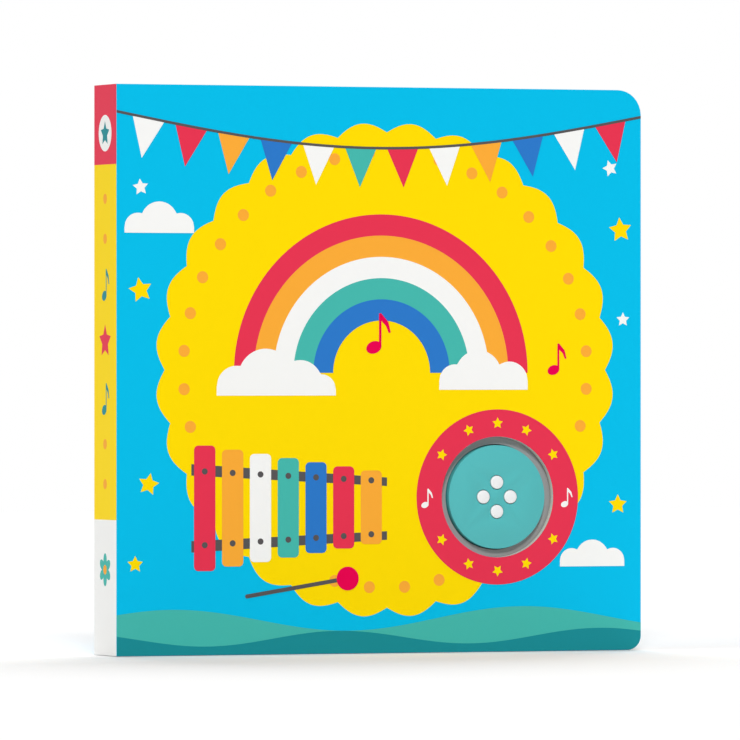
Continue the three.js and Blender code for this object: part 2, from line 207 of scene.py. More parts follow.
def surface(name, rgb, rough=0.4, metal=0.0, scale=400.0, depth=0.06, bump=0.02, gloss=0.4):
    """A grained material: scale, depth and bump are those of the grain."""
    material = bpy.data.materials.new(name)
    material.use_nodes = True
    tree = material.node_tree
    shader = tree.nodes["Principled BSDF"]
    shader.inputs["Roughness"].default_value = rough
    shader.inputs["Metallic"].default_value = metal
    shader.inputs["Specular IOR Level"].default_value = gloss
    grain = tree.nodes.new("ShaderNodeGroup")
    grain.node_tree = GRAIN
    grain.inputs["Color"].default_value = linear(rgb)
    grain.inputs["Scale"].default_value = scale
    grain.inputs["Depth"].default_value = depth
    relief = add(tree, "Bump", Strength=bump, Distance=RELIEF * MM)
    tree.links.new(grain.outputs["Color"], shader.inputs["Base Color"])
    tree.links.new(grain.outputs["Height"], relief.inputs["Height"])
    tree.links.new(relief.outputs["Normal"], shader.inputs["Normal"])
    return material


print("the grain's relief is", RELIEF, "mm at full strength")

# %% [markdown]
# ## Printing inks
# The boards are printed in flat, strong colours under a satin film. Film could be
# a clear coat, but at this size it only softens the light a little, so a low
# gloss on a fairly rough surface does. One material for each ink keeps the whole
# book in the same few colours.

# %% Inks
INKS = {
    "cyan": (3, 189, 233),
    "yellow": (255, 220, 0),
    "red": (230, 53, 81),
    "orange": (250, 171, 56),
    "teal": (70, 183, 172),
    "deep_teal": (28, 140, 148),
    "blue": (45, 120, 200),
    "grey": (88, 85, 86),
    "white": (246, 246, 244),
    "pink": (232, 0, 80),
    "pale": (245, 198, 7),
}
SATIN = {"rough": 0.42, "depth": 0.05, "bump": 0.015, "gloss": 0.05}
PRINT = {ink: surface("print_" + ink, rgb, **SATIN) for ink, rgb in INKS.items()}
print(len(PRINT), "inks")

# %% [markdown]
# ## The sound module's materials
# The module's shells and the key are moulded plastic, which leaves the mould with
# a fine even texture: a small grain with a little bump. The dome is rubber, the
# drop over the chip is dark resin, the circuit board is lacquered, the speaker's
# cone is pressed paper, and cells, contacts and screws are plated steel. Each is
# the same recipe with other values, because their grain and gloss are what tell
# them apart.

# %% Plastic, rubber, paper and steel
SHELL_GREY = (160, 159, 160)
HOUSING_GREY = surface("housing_plastic", SHELL_GREY, rough=0.5, scale=900.0, bump=0.06, gloss=0.15)
KEY_TEAL = surface("key_teal", (78, 182, 184), rough=0.42, scale=700.0, depth=0.04, bump=0.03)
KEY_WHITE = surface("key_white", (238, 239, 240), scale=700.0, depth=0.04)
DOME_RUBBER = surface("dome_rubber", (217, 217, 212), rough=0.6)
CIRCUIT_GREEN = surface("board_green", (31, 107, 58), rough=0.35, scale=250.0, depth=0.2)
CHIP_RESIN = surface("resin", (23, 23, 26), rough=0.25, scale=120.0, bump=0.1)
CONE_PAPER = surface("cone_paper", (58, 57, 54), rough=0.8, scale=600.0, depth=0.3, bump=0.2)
STEEL = surface("steel", (184, 187, 190), rough=0.3, metal=1.0, scale=500.0, bump=0.04)
WIRE_RED = surface("wire_red", (192, 40, 44), rough=0.45)
WIRE_BLACK = surface("wire_black", (32, 32, 34), rough=0.45)
print(len(bpy.data.materials), "materials so far")

# %% [markdown]
# ## Board with cut edges
# A die cuts the boards, so their edges show the bare core in thin layers, while
# both faces are printed. The two could be separate materials on separate faces.
# Here the normal decides: where it points along Y the surface is a face, and
# elsewhere it is an edge. A wave along Y draws the layers, with a little
# distortion, since pressed paper is never quite straight. At a scale of 1 the wave
# repeats after UNIT_WAVE metres, and its scale follows from that.

# %% The board material
CORE = (226, 222, 212)
UNIT_WAVE = 0.31


def board(name, rgb, ply=0.28, core=CORE, dark=0.86):
    """Printed board: rgb is its face, core and core x dark its layers, ply their thickness."""
    material = surface(name, rgb, **SATIN)
    tree = material.node_tree
    link = tree.links.new
    shader = tree.nodes["Principled BSDF"]
    grain = [node for node in tree.nodes if node.type == "GROUP"][0]
    where = add(tree, "TexCoord")
    parts = add(tree, "SeparateXYZ")
    size = add_math(tree, "ABSOLUTE")
    is_face = add_math(tree, "GREATER_THAN", 0.5)
    layers = add(tree, "TexWave", Scale=UNIT_WAVE / (ply * MM), Distortion=1.5, Detail=2.0)
    layers.bands_direction = "Y"
    edge = add_mix(tree)
    edge.inputs["A"].default_value = linear(core)
    edge.inputs["B"].default_value = linear([c * dark for c in core])
    pick = add_mix(tree)
    link(where.outputs["Normal"], parts.inputs[0])
    link(parts.outputs["Y"], size.inputs[0])
    link(size.outputs[0], is_face.inputs[0])
    link(where.outputs["Object"], layers.inputs["Vector"])
    link(layers.outputs["Fac"], edge.inputs["Factor"])
    link(is_face.outputs[0], pick.inputs["Factor"])
    link(edge.outputs["Result"], pick.inputs["A"])
    link(grain.outputs["Color"], pick.inputs["B"])
    link(pick.outputs["Result"], shader.inputs["Base Color"])
    return material


print("a layer of cover board is 0.28 mm, so the wave's scale is", round(UNIT_WAVE / 0.00028))

# %% Boards of the book
GREY_CORE = (156, 154, 149)
COVER_BOARD = board("cover_board", INKS["cyan"])
BACK_BOARD = board("back_board", INKS["cyan"])
SPINE_BOARD = board("spine_core", (236, 232, 222))
PAGE_BOARD = board("page_board", (248, 247, 243), ply=0.5)
END_BOARD = board("end_board", INKS["teal"])
FRAME_BOARD = board("grey_board", GREY_CORE, core=GREY_CORE, dark=0.64)
print("a cover board is", round(COVER_IN - FRONT, 2), "mm thick")

# %% [markdown]
# ## Painting the solids
# The solids keep their shape and get their materials here. A table of names says
# more than a chain of tests would. What it doesn't name is steel, as most of the
# small parts of the module are.

# %% Give each solid its material
LOOKS = {
    "front_cover": COVER_BOARD,
    "back_cover": BACK_BOARD,
    "spine_board": SPINE_BOARD,
    "page_block": PAGE_BOARD,
    "end_page": END_BOARD,
    "module_frame": FRAME_BOARD,
    "housing_front": HOUSING_GREY,
    "housing_back": HOUSING_GREY,
    "battery_door": HOUSING_GREY,
    "button_cap": KEY_TEAL,
    "button_plunger": KEY_WHITE,
    "key_dome": DOME_RUBBER,
    "circuit_board": CIRCUIT_GREEN,
    "chip_blob": CHIP_RESIN,
    "speaker_cone": CONE_PAPER,
    "speaker_wire_1": WIRE_RED,
    "speaker_wire_2": WIRE_BLACK,
    "battery_wire_1": WIRE_RED,
    "battery_wire_2": WIRE_BLACK,
}
for name in nodes:
    mesh = nodes[name].data
    mesh.materials.clear()
    mesh.materials.append(LOOKS.get(name, STEEL))
print("painted", len(nodes), "solids")

# %% [markdown]
# ## Print as thin skins
# Print is ink on a face. It could be a picture, but a picture blurs when the
# camera comes near. Here each motif is a closed outline that Blender fills, like
# a shape cut from coloured film, 0.02 mm thick. Later motifs lie one level
# higher, so they never fight for the same plane, and motifs of one ink a STEP
# higher than the one before. A flat curve is drawn lying down, so it becomes a
# mesh first and is stood up on its face after that.

# %% Selecting
def pick_only(*pieces):
    """Selects these pieces alone; the first of them becomes the active one."""
    bpy.ops.object.select_all(action="DESELECT")
    for piece in pieces:
        piece.select_set(True)
    bpy.context.view_layer.objects.active = pieces[0]


print("selected now:", len(bpy.context.selected_objects))

# %% An outline becomes a thin solid
INK = 0.03
THICK = 0.8 * INK


def film(shape, lift):
    """Fills an outline, or a list of an outline and its holes, and lifts it."""
    rings = shape if isinstance(shape[0], list) else [shape]
    curve = bpy.data.curves.new("outline", "CURVE")
    curve.dimensions = "2D"
    curve.fill_mode = "BOTH"
    curve.extrude = THICK / 2 * MM
    for points in rings:
        spline = curve.splines.new("POLY")
        spline.points.add(len(points) - 1)
        for target, (x, z) in zip(spline.points, points):
            target.co = (x * MM, z * MM, 0, 1)
        spline.use_cyclic_u = True
    piece = bpy.data.objects.new("outline", curve)
    bpy.context.scene.collection.objects.link(piece)
    pick_only(piece)
    bpy.ops.object.convert(target="MESH")
    piece = bpy.context.view_layer.objects.active
    piece.location = (0, 0, lift * MM)
    bpy.ops.object.transform_apply(location=True, rotation=False, scale=False)
    return piece


print("a film is", round(THICK, 3), "mm thick")

# %% Films of one ink become one piece on a face
STEP = 0.0004
WRAP = 0.12
PLACES = {
    "front": ((QUARTER, 0, 0), (0, FRONT, 0)),
    "back": ((QUARTER, 0, math.pi), (0, BACK, 0)),
    "spine": ((QUARTER, 0, -QUARTER), (LEFT - WRAP, 0, 0)),
}


def printed(name, shapes, ink, level, body, face="front", plane=None):
    """Prints shapes in one ink; plane moves the face to another Y."""
    films = [film(shape, (level + 0.5) * INK + STEP * i) for i, shape in enumerate(shapes)]
    pick_only(*films)
    if len(films) > 1:
        bpy.ops.object.join()
    piece = bpy.context.view_layer.objects.active
    piece.name = name
    turn, (x, y, z) = PLACES[face]
    piece.rotation_euler = turn
    piece.location = (x * MM, (y if plane is None else plane) * MM, z * MM)
    bpy.ops.object.transform_apply(location=True, rotation=True, scale=False)
    bpy.ops.object.mode_set(mode="EDIT")
    bpy.ops.mesh.select_all(action="SELECT")
    bpy.ops.mesh.remove_doubles(threshold=1e-6)
    bpy.ops.mesh.normals_make_consistent(inside=False)
    bpy.ops.object.mode_set(mode="OBJECT")
    bpy.ops.object.shade_flat()
    piece.data.materials.clear()
    piece.data.materials.append(PRINT[ink])
    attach(piece, body)
    return piece


print("faces:", ", ".join(PLACES))

# %% [markdown]
# ## The sun and the hills
# The cover's largest form is a yellow field on cyan. Here it is a sun with a
# scalloped rim: a circle whose radius swells between the lobes, as the absolute
# value of a sine does. The hole for the key is cut out of it as a second ring of
# points. Hills at the foot are one sine wave each, closed along the lower edge,
# and they follow the rounded corner of the board.

# %% Outlines of the sun
def on_circle(cx, cz, r, a):
    """The point of a circle at the angle a."""
    return (cx + r * math.cos(a), cz + r * math.sin(a))


def disc(cx, cz, r, steps=96):
    return [on_circle(cx, cz, r, 2 * math.pi * i / steps) for i in range(steps)]


def wavy(cx, cz, r, swell, lobes, steps=20):
    """A circle with lobes that swell outwards."""
    points = []
    for i in range(lobes * steps):
        a = 2 * math.pi * i / (lobes * steps)
        points.append(on_circle(cx, cz, r + swell * abs(math.sin(lobes * a / 2)), a))
    return points


print("a disc has", len(disc(0, 0, 1)), "points")

# %% Outline of the hills
EDGE = 0.1
FAR_HILLS = {"level": 12, "swell": 4, "waves": 3, "shift": 0.6}
NEAR_HILLS = {"level": 5.5, "swell": 2.5, "waves": 4, "shift": 2.6}


def hills(left, level, swell, waves, shift):
    """A wave from left to the fore edge, closed along the foot of the board."""
    right = RIGHT - EDGE
    corner = LOW_CORNER - EDGE
    points = [(left, EDGE)]
    for i in range(9):
        a = math.radians(270 + 90 * i / 8)
        points.append(on_circle(right - corner, EDGE + corner, corner, a))
    for i in range(81):
        x = right + (left - right) * i / 80
        a = shift + waves * math.pi * (x - left) / (right - left)
        points.append((x, level + swell * math.sin(a)))
    return points


print("the far hills reach", FAR_HILLS["level"] + FAR_HILLS["swell"], "mm")

# %% Sun, hills and the ring round the key
SUN_X = 2
SUN_Z = 100
SUN_R = 84
KEY_RING_R = 31.1
ART_LEFT = LEFT + EDGE
hole = disc(KEY_X, KEY_Z, HOLE_R + MARGIN, 160)
sun = wavy(SUN_X, SUN_Z, SUN_R, swell=3.5, lobes=28)
printed("cover_sun", [[sun, hole]], "yellow", 0, "front")
printed("cover_hills", [hills(ART_LEFT, **FAR_HILLS)], "teal", 1, "front")
printed("cover_near_hills", [hills(ART_LEFT, **NEAR_HILLS)], "deep_teal", 2, "front")
printed("cover_ring", [[disc(KEY_X, KEY_Z, KEY_RING_R, 160), hole]], "red", 3, "front")
print("the sun is", 2 * SUN_R, "mm across")

# %% Spots round the sun
SPOTS = 36
spots = []
for i in range(SPOTS):
    x, z = on_circle(SUN_X, SUN_Z, SUN_R - 7, math.radians(360 / SPOTS * i + 5))
    under_ring = math.hypot(x - KEY_X, z - KEY_Z) < KEY_RING_R + 3.9
    under_xylophone = x < 6 and 28 < z < 74
    if not under_ring and not under_xylophone:
        spots.append(disc(x, z, 2.1, 32))
printed("cover_spots", spots, "orange", 1, "front")
print(len(spots), "spots round the sun")

# %% [markdown]
# ## Rainbow and clouds
# A rainbow is a set of half rings of equal width, each in its own ink. A cloud is
# a few puffs on a flat base. Joining circles would need a boolean for each one.
# Following the highest puff from left to right gives the same outline at once.

# %% Outlines of a band and a cloud
def arch(cx, cz, outer, inner, steps=64):
    over = [on_circle(cx, cz, outer, math.pi * i / steps) for i in range(steps + 1)]
    under = [on_circle(cx, cz, inner, math.pi * i / steps) for i in range(steps + 1)]
    return over + under[::-1]


def cloud(cx, base, puffs, steps=90):
    """Puffs are (x, z, radius), measured from the middle of the base."""
    left = min(x - r for x, z, r in puffs)
    right = max(x + r for x, z, r in puffs)
    top = []
    for i in range(steps + 1):
        x = left + (right - left) * i / steps
        heights = [0.01]
        for px, pz, r in puffs:
            if abs(x - px) <= r:
                heights.append(pz + math.sqrt(max(r * r - (x - px) ** 2, 0)))
        top.append((cx + x, base + max(heights)))
    return [(cx + left, base)] + top + [(cx + right, base)]


PUFFS = [(-15, 3, 7.5), (-4, 6, 10.5), (9, 4, 8.5), (17, 2, 5.5)]
print("a cloud has", len(cloud(0, 0, PUFFS)), "points")

# %% Rainbow and clouds
BAND = 7.5
RAINBOW_Z = 99
RAINBOW = {"red": 56, "orange": 48.5, "white": 41, "teal": 33.5, "blue": 26}
for ink, outer in RAINBOW.items():
    printed("rainbow_" + ink, [arch(0, RAINBOW_Z, outer, outer - BAND)], ink, 2, "front")
clouds = [
    cloud(-40, 91, PUFFS),
    cloud(40, 93, [(-12, 3, 6), (-3, 5, 9), (9, 3, 7)]),
    cloud(-84, 148, [(-8, 2, 5), (0, 4, 7), (8, 2, 5)]),
    cloud(80, 30, [(-7, 2, 4.5), (1, 3, 6.5), (9, 2, 4.5)]),
]
printed("cover_clouds", clouds, "white", 3, "front")
print(len(RAINBOW), "bands and", len(clouds), "clouds")

# %% [markdown]
# ## Xylophone
# A toy xylophone has bars that get shorter to one side, on two rails that come
# together as the bars do. Bars are rectangles with rounded corners. They are
# sorted by ink, so that all the bars of one ink are one piece. Pins and the
# beater go on top.

# %% Outline of a bar
def bar(x0, z0, x1, z1, r=1.2, steps=5):
    """A rectangle with corners of radius r."""
    points = []
    low = [(x0 + r, z0 + r, 180), (x1 - r, z0 + r, 270)]
    high = [(x1 - r, z1 - r, 0), (x0 + r, z1 - r, 90)]
    for x, z, start in low + high:
        for i in range(steps + 1):
            points.append(on_circle(x, z, r, math.radians(start + 90 * i / steps)))
    return points


def turned(shape, cx, cz, degrees):
    """Turns an outline about a point."""
    c, s = math.cos(math.radians(degrees)), math.sin(math.radians(degrees))
    return [(cx + (x - cx) * c - (z - cz) * s, cz + (x - cx) * s + (z - cz) * c) for x, z in shape]


print("a bar has", len(bar(0, 0, 8, 40)), "points")

# %% Rails and bars
BAR_INKS = ["red", "orange", "white", "teal", "blue", "red", "orange"]
LONGEST = 44
SHORTER = 3
BARS_LEFT = -71
BAR_WIDTH = 8
BAR_STEP = 10.5
BAR_MID = 51.5
rails = [[(-72, 63), (2, 59), (2, 62), (-72, 67)], [(-72, 36), (2, 40), (2, 43), (-72, 40)]]
printed("xylophone_rails", rails, "grey", 2, "front")
for ink in sorted(set(BAR_INKS)):
    shapes = []
    for i, bar_ink in enumerate(BAR_INKS):
        if bar_ink == ink:
            x = BARS_LEFT + BAR_STEP * i
            half = (LONGEST - SHORTER * i) / 2
            shapes.append(bar(x, BAR_MID - half, x + BAR_WIDTH, BAR_MID + half, 1.6))
    printed("xylophone_" + ink, shapes, ink, 3, "front")
print(len(BAR_INKS), "bars")

# %% Pins and beater
RAIL_SLOPE = 0.054
HIGH_RAIL = 64.7
LOW_RAIL = 38.3
PIN_R = 1.1
pins = []
for i in range(len(BAR_INKS)):
    x = BARS_LEFT + BAR_WIDTH / 2 + BAR_STEP * i
    rise = RAIL_SLOPE * (x + 72)
    pins += [disc(x, HIGH_RAIL - rise, PIN_R, 24), disc(x, LOW_RAIL + rise, PIN_R, 24)]
printed("xylophone_pins", pins, "grey", 4, "front")
printed("beater_stick", [turned(bar(-52, 22.6, -14, 24, 0.6), -33, 23.3, 9)], "grey", 4, "front")
printed("beater_ball", [disc(-13, 26.4, 4.2, 48)], "pink", 5, "front")
print(len(pins), "pins")

# %% [markdown]
# ## Flags
# A line of flags hangs between the two upper corners. A short line under its own
# weight is close to half a sine wave, and that is easier to write than the true
# curve. Each flag's upper corners are read off the same curve, so that the flag
# follows the line, and its point hangs square to it.

# %% The flag line
LINE_ENDS = 190.4
LINE_SAG = 12
LINE_PARTS = 60


def ribbon(points, width):
    """A band of one width along points."""
    upper = [(x, z + width / 2) for x, z in points]
    lower = [(x, z - width / 2) for x, z in reversed(points)]
    return upper + lower


def sag(x):
    """The height of the flag line at x."""
    return LINE_ENDS - LINE_SAG * math.sin(math.pi * (x - ART_LEFT) / (-2 * ART_LEFT))


line_x = [ART_LEFT + 3.33 * i for i in range(LINE_PARTS + 1)]
printed("flag_line", [ribbon([(x, sag(x)) for x in line_x], 0.9)], "grey", 4, "front")
print("the line hangs", round(sag(ART_LEFT) - sag(0), 1), "mm")

# %% Flags
FLAGS = ["white", "red", "orange", "blue", "white", "teal"]
FLAGS += ["red", "white", "orange", "blue", "white", "red"]
FIRST_FLAG = -88
FLAG_STEP = 16
HALF_FLAG = 6
FLAG_DROP = 14
for ink in sorted(set(FLAGS)):
    shapes = []
    for i, flag in enumerate(FLAGS):
        if flag == ink:
            x = FIRST_FLAG + FLAG_STEP * i
            left, right = sag(x - HALF_FLAG), sag(x + HALF_FLAG)
            lean = (right - left) * FLAG_DROP / (2 * HALF_FLAG)
            point = (x + lean, (left + right) / 2 - FLAG_DROP)
            shapes.append([(x - HALF_FLAG, left), point, (x + HALF_FLAG, right)])
    printed("flags_" + ink, shapes, ink, 3, "front")
print(len(FLAGS), "flags")

# %% [markdown]
# ## Stars and notes
# Small stars fill the cyan ground, and stars and notes go round the red ring, to
# say that the key plays a tune. Each could be drawn point by point, but a rule is
# shorter and turns easily. A star is a ring of points that lie far out and near in
# by turns. A note is three outlines in one ink: an oval head, a stem and a hook.

# %% Outlines of a star and a note
def star(cx, cz, r, turn=0.0, points=5, waist=0.5):
    corners = []
    for i in range(2 * points):
        reach = r if i % 2 == 0 else r * waist
        corners.append(on_circle(cx, cz, reach, QUARTER + turn + math.pi * i / points))
    return corners


def note(cx, cz, size):
    """A quaver; its head's middle is at (cx, cz)."""
    oval = [(x, cz + (z - cz) * 0.72) for x, z in disc(cx, cz, 2.6 * size, 32)]
    head = turned(oval, cx, cz, 20)
    stem = bar(cx + 1.7 * size, cz, cx + 2.5 * size, cz + 10.5 * size, 0.3 * size, 2)
    hook = [(2.4, 10.5), (4.8, 7.8), (5.6, 4.6), (4.9, 4.4), (4.0, 6.6), (2.4, 8.2)]
    return [head, stem, [(cx + x * size, cz + z * size) for x, z in hook]]


print("a note has", len(note(0, 0, 1)), "outlines")

# %% Stars and notes
stars = [
    star(-91, 128, 4.5, 0.2), star(-88, 60, 4, -0.2), star(92, 150, 4.5, 0.1),
    star(91, 52, 3.6), star(-93, 32, 3),
]
printed("cover_stars", stars, "yellow", 1, "front")
small_stars = [star(88, 172, 3, 0.3), star(-91, 164, 3, 0.1), star(93, 118, 2.6)]
printed("cover_small_stars", small_stars, "white", 1, "front")
printed("cover_notes", note(-3, 108, 1.15) + note(66, 100, 0.9), "pink", 3, "front")
print(len(stars) + len(small_stars), "stars on the ground")

# %% Stars and notes on the ring
RING_MID = 26.2
ring_notes = note(16.5, 52.2, 0.55) + note(70.3, 52.2, 0.55)
ring_stars = []
for degrees in (35, 65, 90, 115, 145, 215, 245, 270, 295, 325):
    a = math.radians(degrees)
    ring_stars.append(star(*on_circle(KEY_X, KEY_Z, RING_MID, a), 2.1, a - QUARTER))
printed("ring_notes", ring_notes, "white", 4, "front")
printed("ring_stars", ring_stars, "yellow", 4, "front")
print(len(ring_stars), "stars on the ring")

# %% [markdown]
# ## The wrap
# One printed sheet runs over the spine and the edges of both covers, in blocks of
# red, yellow and white. A single bent sheet would tear when a cover opens, as its
# parts ride on three bodies. So it is cut where the real one is creased: a flat
# strip for each part, and between them a narrow crease strip, divided by cuts into
# smaller faces. A sheet can't turn a sharp corner, so the strips' folds are
# bevelled.

# %% A strip of the wrap
FOLD = 0.06
CLOSE = 0.01


def strip(name, y0, y1, z0, z1, ink, cuts=0, folds=()):
    """A flat strip; cuts divide it into smaller faces, and folds are rounded."""
    bpy.ops.object.select_all(action="DESELECT")
    bpy.ops.mesh.primitive_cube_add(size=1)
    piece = bpy.context.active_object
    piece.name = name
    piece.scale = (WRAP * MM, (y1 - y0) * MM, (z1 - z0) * MM)
    piece.location = ((LEFT - WRAP / 2) * MM, (y0 + y1) / 2 * MM, (z0 + z1) / 2 * MM)
    bpy.ops.object.transform_apply(location=True, rotation=True, scale=True)
    for fold in folds:
        bpy.ops.object.mode_set(mode="EDIT")
        bpy.ops.mesh.select_mode(type="EDGE")
        bpy.ops.mesh.select_all(action="DESELECT")
        bpy.ops.object.mode_set(mode="OBJECT")
        for edge in piece.data.edges:
            ends = [piece.data.vertices[i].co / MM for i in edge.vertices]
            edge.select = all(abs(end.y - fold) < CLOSE and end.x < LEFT - WRAP / 2 for end in ends)
        bpy.ops.object.mode_set(mode="EDIT")
        bpy.ops.mesh.bevel(offset=FOLD * MM, segments=3, affect="EDGES")
        bpy.ops.object.mode_set(mode="OBJECT")
    if cuts:
        bpy.ops.object.mode_set(mode="EDIT")
        bpy.ops.mesh.select_all(action="SELECT")
        bpy.ops.mesh.subdivide(number_cuts=cuts)
        bpy.ops.object.mode_set(mode="OBJECT")
    piece.data.materials.append(PRINT[ink])
    return piece


print("the wrap is", WRAP, "mm thick")

# %% The wrap's blocks
BLOCKS = [("white", 0.0, 47.5), ("yellow", 47.5, 172.0), ("red", 172.0, HEIGHT)]
CREASE_WIDTH = 0.3
CREASE = COVER_IN + CREASE_WIDTH
PARTS = [
    ("spine_wrap_", CREASE, -CREASE, "pages"),
    ("front_edge_", FRONT, COVER_IN, "front"),
    ("back_edge_", -COVER_IN, BACK, "back"),
]
for ink, z0, z1 in BLOCKS:
    for prefix, y0, y1, body in PARTS:
        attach(strip(prefix + ink, y0, y1, z0, z1, ink, folds=(y0, y1)), body)
    for body, y0, y1 in (("front", COVER_IN, CREASE), ("back", -CREASE, -COVER_IN)):
        crease = strip(body + "_crease_" + ink, y0, y1, z0, z1, ink, cuts=3)
        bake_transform(crease)
print("the wrap has", 5 * len(BLOCKS), "strips")

# %% [markdown]
# ## Print on the spine
# The spine is all that shows of a book on a shelf, so it carries small motifs in a
# column. They could be cut into the wrap's strips, but then each motif would be
# part of a strip that bends. Here they lie on the middle strip, which stays flat.
# They are drawn as on a cover, with x across the spine, and PLACES turns them.

# %% Spine print
ON_SPINE = [
    ("disc", [disc(0, 183, 6.4, 64)], "white", 0),
    ("star", [star(0, 182.8, 4.4)], "deep_teal", 1),
    ("dots", [disc(0, z, 1.8, 32) for z in (60, 74, 146, 160)], "orange", 0),
    ("big_star", [star(0, 110, 6)], "red", 0),
    ("notes", note(-0.8, 86, 0.9) + note(-0.8, 126, 0.9), "deep_teal", 0),
    ("flower", [wavy(0, 30, 3.2, 2.6, 6)], "teal", 0),
    ("flower_eye", [disc(0, 30, 1.7, 32)], "orange", 1),
]
for motif, shapes, ink, level in ON_SPINE:
    printed("spine_" + motif, shapes, ink, level, "pages", "spine")
print(len(ON_SPINE), "motifs on the spine")

# %% [markdown]
# ## Inside pages
# An open book shows the inside of its cover, the first page, and the leaf that is
# glued over the module. Each gets a sheet of colour that follows the rounded
# corners of the board, with a simple garden on it. Three pages share one drawing,
# so it is a function, and the last page, which faces back, is its mirror image.

# %% Outline of a leaf
GUTTER = -97.4


def sheet_outline(left):
    """The outline of a leaf, with the rounded corners at its fore edge."""
    points = [(left, MARGIN)]
    for z, r, start in ((LOW_CORNER, LOW_CORNER, 270), (HEIGHT - HIGH_CORNER, HIGH_CORNER, 0)):
        for i in range(13):
            points.append(on_circle(RIGHT - r, z, r - MARGIN, math.radians(start + 90 * i / 12)))
    return points + [(left, HEIGHT - MARGIN)]


def mirrored(shape):
    if isinstance(shape[0], list):
        return [mirrored(ring) for ring in shape]
    return [(-x, z) for x, z in shape]


leaf = sheet_outline(GUTTER)
print("a leaf has", len(leaf), "points")

# %% A garden on a page
def garden(prefix, body, face, plane, sky, flip=False):
    """A page with sky, grass, sun, clouds and three flowers."""
    page_hole = disc(KEY_X, KEY_Z, PAGE_HOLE_R + MARGIN, 96)
    stems_x = (-70, -40, -10)
    layers = [
        ("_sky", [[leaf, page_hole]], sky, 0),
        ("_grass", [hills(GUTTER, level=20, swell=5, waves=3, shift=1.0)], "teal", 1),
        ("_sun", [disc(-58, 160, 18)], "yellow", 1),
        ("_clouds", [cloud(30, 140, PUFFS), cloud(-50, 100, PUFFS)], "white", 1),
        ("_stems", [bar(x, 18, x + 1.6, 44, 0.6) for x in stems_x], "deep_teal", 2),
        ("_blooms", [wavy(x + 0.8, 46, 6, 4, 6) for x in stems_x], "red", 3),
        ("_eyes", [disc(x + 0.8, 46, 2.6, 32) for x in stems_x], "orange", 4),
    ]
    for suffix, shapes, ink, level in layers:
        if flip:
            shapes = [mirrored(shape) for shape in shapes]
        printed(prefix + suffix, shapes, ink, level, body, face, plane)


PAGE_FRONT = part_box("page_block")[0].y / MM
PAGE_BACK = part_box("page_block")[1].y / MM
END_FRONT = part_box("end_page")[0].y / MM
garden("page", "pages", "front", PAGE_FRONT, "pale")
garden("end", "back", "front", END_FRONT, "cyan")
print("gardens on the pages at", round(PAGE_FRONT, 2), "and", round(END_FRONT, 2), "mm")

# %% Inside of the front cover
inside = mirrored([leaf, disc(KEY_X, KEY_Z, HOLE_R + MARGIN, 96)])
printed("inside_cover", [inside], "yellow", 0, "front", "back", COVER_IN)
dots = []
for row in range(9):
    for column in range(9):
        x = -84 + 20 * column + (10 if row % 2 else 0)
        z = 14 + 21 * row
        if math.hypot(x + KEY_X, z - KEY_Z) > 28 and x < 90:
            dots.append(disc(x, z, 2.6, 24))
printed("inside_dots", dots, "orange", 1, "front", "back", COVER_IN)
garden("last", "pages", "back", PAGE_BACK, "pale", flip=True)
print(len(dots), "dots inside the cover")

# %% [markdown]
# ## The back cover
# The back repeats the front's hills and clouds with fewer motifs, as backs do. A
# yellow flower with a hole in the middle frames the holes of the loudspeaker, so
# that they look meant. x runs the other way here, because this face is seen from
# behind, so the hills are mirrored: their rounded corner belongs at the fore edge.

# %% Back cover
SPEAKER_X = -44.4
SPEAKER_Z = 102
far_hills = mirrored(hills(ART_LEFT, **FAR_HILLS))
near_hills = mirrored(hills(ART_LEFT, **NEAR_HILLS))
printed("back_clouds", [cloud(50, 150, PUFFS), cloud(62, 60, PUFFS)], "white", 0, "back", "back")
printed("back_hills", [far_hills], "teal", 0, "back", "back")
printed("back_near_hills", [near_hills], "deep_teal", 1, "back", "back")
petals = [wavy(SPEAKER_X, SPEAKER_Z, 22, swell=4, lobes=16), disc(SPEAKER_X, SPEAKER_Z, 11)]
printed("back_ring", [petals], "yellow", 0, "back", "back")
back_stars = [star(10, 120, 5), star(28, 96, 4, 0.3), star(-78, 168, 4.5)]
back_stars += [star(0, 176, 4), star(84, 110, 4)]
printed("back_stars", back_stars, "yellow", 0, "back", "back")
print(len(back_stars), "stars on the back")

# %% [markdown]
# ## The key's cap
# The key looks like a clothes button: a shallow cap with four holes. Moulded
# plastic has no sharp rims, and the solid has facets. So the cap is turned again
# from a fine cylinder, hollowed and bored with booleans as a cutter would, and
# its rims are rounded by a bevel that acts on sharp angles alone. Drilling a
# finished mesh by hand would leave uneven faces round the holes.

# %% Turn a piece
def turn_piece(name, r, y0, y1, x=KEY_X, z=KEY_Z, sides=128, foot=None):
    """A round piece along Y, of radius r at y0, and of radius foot at y1."""
    wide = (r if foot is None else foot) * MM
    depth = (y1 - y0) * MM
    bpy.ops.mesh.primitive_cone_add(vertices=sides, radius1=wide, radius2=r * MM, depth=depth)
    piece = bpy.context.active_object
    piece.name = name
    piece.rotation_euler = (QUARTER, 0, 0)
    piece.location = (x * MM, (y0 + y1) / 2 * MM, z * MM)
    bpy.ops.object.transform_apply(location=True, rotation=True, scale=True)
    return piece


CAP_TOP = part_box("button_cap")[0].y / MM
CAP_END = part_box("button_cap")[1].y / MM
print("the cap is", round(CAP_END - CAP_TOP, 2), "mm deep")

# %% Cut it and round its rims
def combine(piece, tool, operation="DIFFERENCE"):
    """Cuts the tool out of the piece, or joins it on, and throws the tool away."""
    modifier = piece.modifiers.new("cut", "BOOLEAN")
    modifier.operation = operation
    modifier.solver = "EXACT"
    modifier.object = tool
    pick_only(piece)
    bpy.ops.object.modifier_apply(modifier=modifier.name)
    bpy.data.objects.remove(tool)


SHARP = 35
SMOOTH = 30


